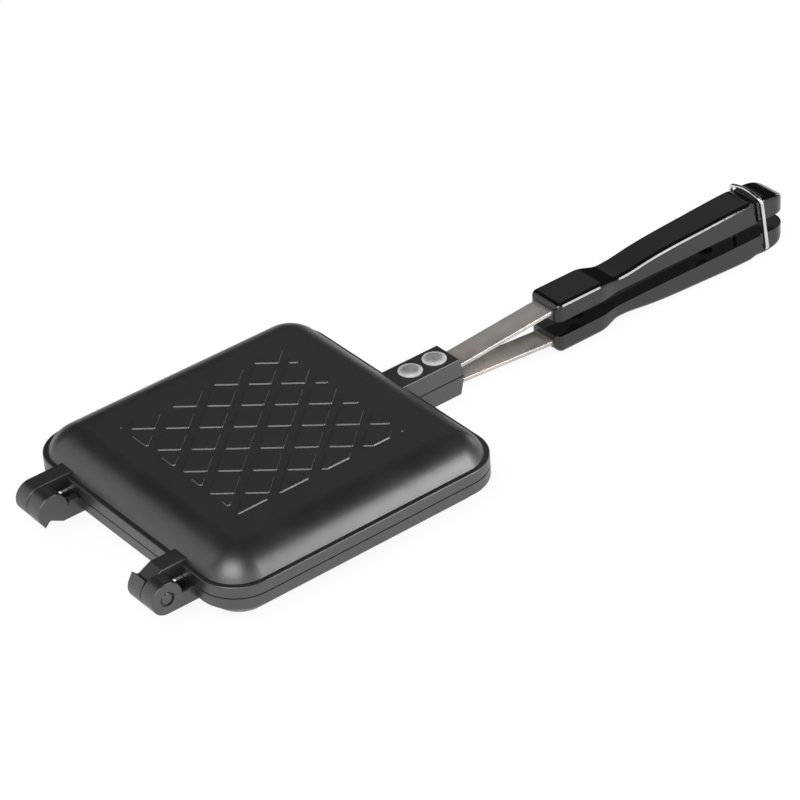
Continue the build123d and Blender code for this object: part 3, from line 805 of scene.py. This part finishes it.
def light_world(studio):
    """Plain light all round, which looks white low down and dim overhead."""
    world = bpy.data.worlds.new("Studio")
    bpy.context.scene.world = world
    world.use_nodes = True
    tree = world.node_tree
    tree.nodes.clear()
    link = tree.links.new
    place = node(tree, "ShaderNodeTexCoord", (-1200, -200))
    slant = node(tree, "ShaderNodeVectorMath", (-1000, -200), operation="DOT_PRODUCT")
    slant.inputs[1].default_value = WALL_SLANT
    link(place.outputs["Generated"], slant.inputs[0])
    wall = node(
        tree, "ShaderNodeMapRange", (-800, -200), interpolation_type="SMOOTHSTEP",
        From_Min=WALL_TOP, From_Max=CEILING_FROM, To_Min=1.0, To_Max=studio.ceiling,
    )
    link(slant.outputs["Value"], wall.inputs["Value"])
    path = node(tree, "ShaderNodeLightPath", (-1200, 300))
    glossy = node(tree, "ShaderNodeMath", (-900, 300), operation="MAXIMUM")
    link(path.outputs["Is Glossy Ray"], glossy.inputs[0])
    link(path.outputs["Is Transmission Ray"], glossy.inputs[1])
    reflected = node(tree, "ShaderNodeMix", (-500, 100), data_type="FLOAT")
    reflected.inputs[VALUE_A].default_value = studio.fill
    link(glossy.outputs["Value"], reflected.inputs[MIX_FACTOR])
    link(wall.outputs["Result"], reflected.inputs[VALUE_B])
    strength = node(tree, "ShaderNodeMix", (-250, 100), data_type="FLOAT")
    strength.inputs[VALUE_B].default_value = 1.0
    link(path.outputs["Is Camera Ray"], strength.inputs[MIX_FACTOR])
    link(reflected.outputs[VALUE_OUT], strength.inputs[VALUE_A])
    background = node(tree, "ShaderNodeBackground", (0, 0), Color=(1.0, 1.0, 1.0, 1.0))
    link(strength.outputs[VALUE_OUT], background.inputs["Strength"])
    output = node(tree, "ShaderNodeOutputWorld", (250, 0))
    link(background.outputs["Background"], output.inputs["Surface"])


def hang_softbox(name, direction, lean, distance, width, height, power):
    """Oblong area light that faces the object from a direction, its height along the lean."""
    lamp = bpy.data.lights.new(name, "AREA")
    lamp.shape = "RECTANGLE"
    lamp.size, lamp.size_y = width, height
    lamp.energy = power
    light = bpy.data.objects.new(name, lamp)
    towards = Vector(direction).normalized()
    across = Vector(lean).cross(towards).normalized()
    where = Matrix((across, towards.cross(across), towards)).transposed().to_4x4()
    where.translation = towards * distance
    light.matrix_world = where
    light.visible_camera = False
    bpy.context.scene.collection.objects.link(light)


def stand_camera():
    """Camera at the view's turn, height and roll."""
    turn, height, roll = (math.radians(a) for a in (VIEW_TURN, VIEW_HEIGHT, VIEW_ROLL))
    back = Vector((
        math.sin(turn) * math.cos(height), -math.cos(turn) * math.cos(height), math.sin(height),
    ))
    level = Vector((math.cos(turn), math.sin(turn), 0))
    upright = back.cross(level)
    right = math.cos(roll) * level + math.sin(roll) * upright
    up = math.cos(roll) * upright - math.sin(roll) * level
    data = bpy.data.cameras.new("camera")
    data.sensor_width = VIEW_SENSOR
    data.lens = VIEW_LENS
    data.clip_start = VIEW_NEAREST
    camera = bpy.data.objects.new("camera", data)
    bpy.context.scene.collection.objects.link(camera)
    where = Matrix((right, up, back)).transposed().to_4x4()
    where.translation = (
        Vector(VIEW_TARGET) + VIEW_SHIFT[0] * right + VIEW_SHIFT[1] * up
        + VIEW_DISTANCE * back
    )
    camera.matrix_world = where
    bpy.context.scene.camera = camera


# ---------------------------------------------------------------- panel

OPERATORS = (
    PIEIRON_OT_castings,
    PIEIRON_OT_straps,
    PIEIRON_OT_rivets,
    PIEIRON_OT_grips,
    PIEIRON_OT_screws,
    PIEIRON_OT_bail,
    PIEIRON_OT_studio,
)


class PIEIRON_PT_panel(bpy.types.Panel):
    """The pie iron's pieces and settings"""
    bl_label = "Pie Iron"
    bl_idname = "PIEIRON_PT_panel"
    bl_space_type = "VIEW_3D"
    bl_region_type = "UI"
    bl_category = "Pie Iron"

    def draw(self, context):
        scene = context.scene
        for title, settings in (
            ("Sizes", scene.pie_iron_sizes),
            ("Finishes", scene.pie_iron_finishes),
            ("Studio", scene.pie_iron_studio),
        ):
            box = self.layout.box()
            box.label(text=title)
            for name in settings.__annotations__:
                box.prop(settings, name)
        for operator in OPERATORS:
            self.layout.operator(operator.bl_idname)


SETTINGS = (
    (PieIronSizes, "pie_iron_sizes"),
    (PieIronFinishes, "pie_iron_finishes"),
    (PieIronStudio, "pie_iron_studio"),
)


def register():
    for group, name in SETTINGS:
        bpy.utils.register_class(group)
        setattr(bpy.types.Scene, name, bpy.props.PointerProperty(type=group))
    for operator in OPERATORS:
        bpy.utils.register_class(operator)
    bpy.utils.register_class(PIEIRON_PT_panel)


def unregister():
    bpy.utils.unregister_class(PIEIRON_PT_panel)
    for operator in reversed(OPERATORS):
        bpy.utils.unregister_class(operator)
    for group, name in reversed(SETTINGS):
        delattr(bpy.types.Scene, name)
        bpy.utils.unregister_class(group)


def main():
    register()
    mottle_group()
    brushed_group()
    seam_group(halfway_up(), middle("upper_hinge_pin").y + SEAM_FROM_HINGE)
    bpy.ops.pieiron.castings()
    bpy.ops.pieiron.straps()
    bpy.ops.pieiron.rivets()
    bpy.ops.pieiron.grips()
    bpy.ops.pieiron.screws()
    bpy.ops.pieiron.bail()
    bpy.ops.pieiron.studio()


if __name__ == "__main__":
    main()
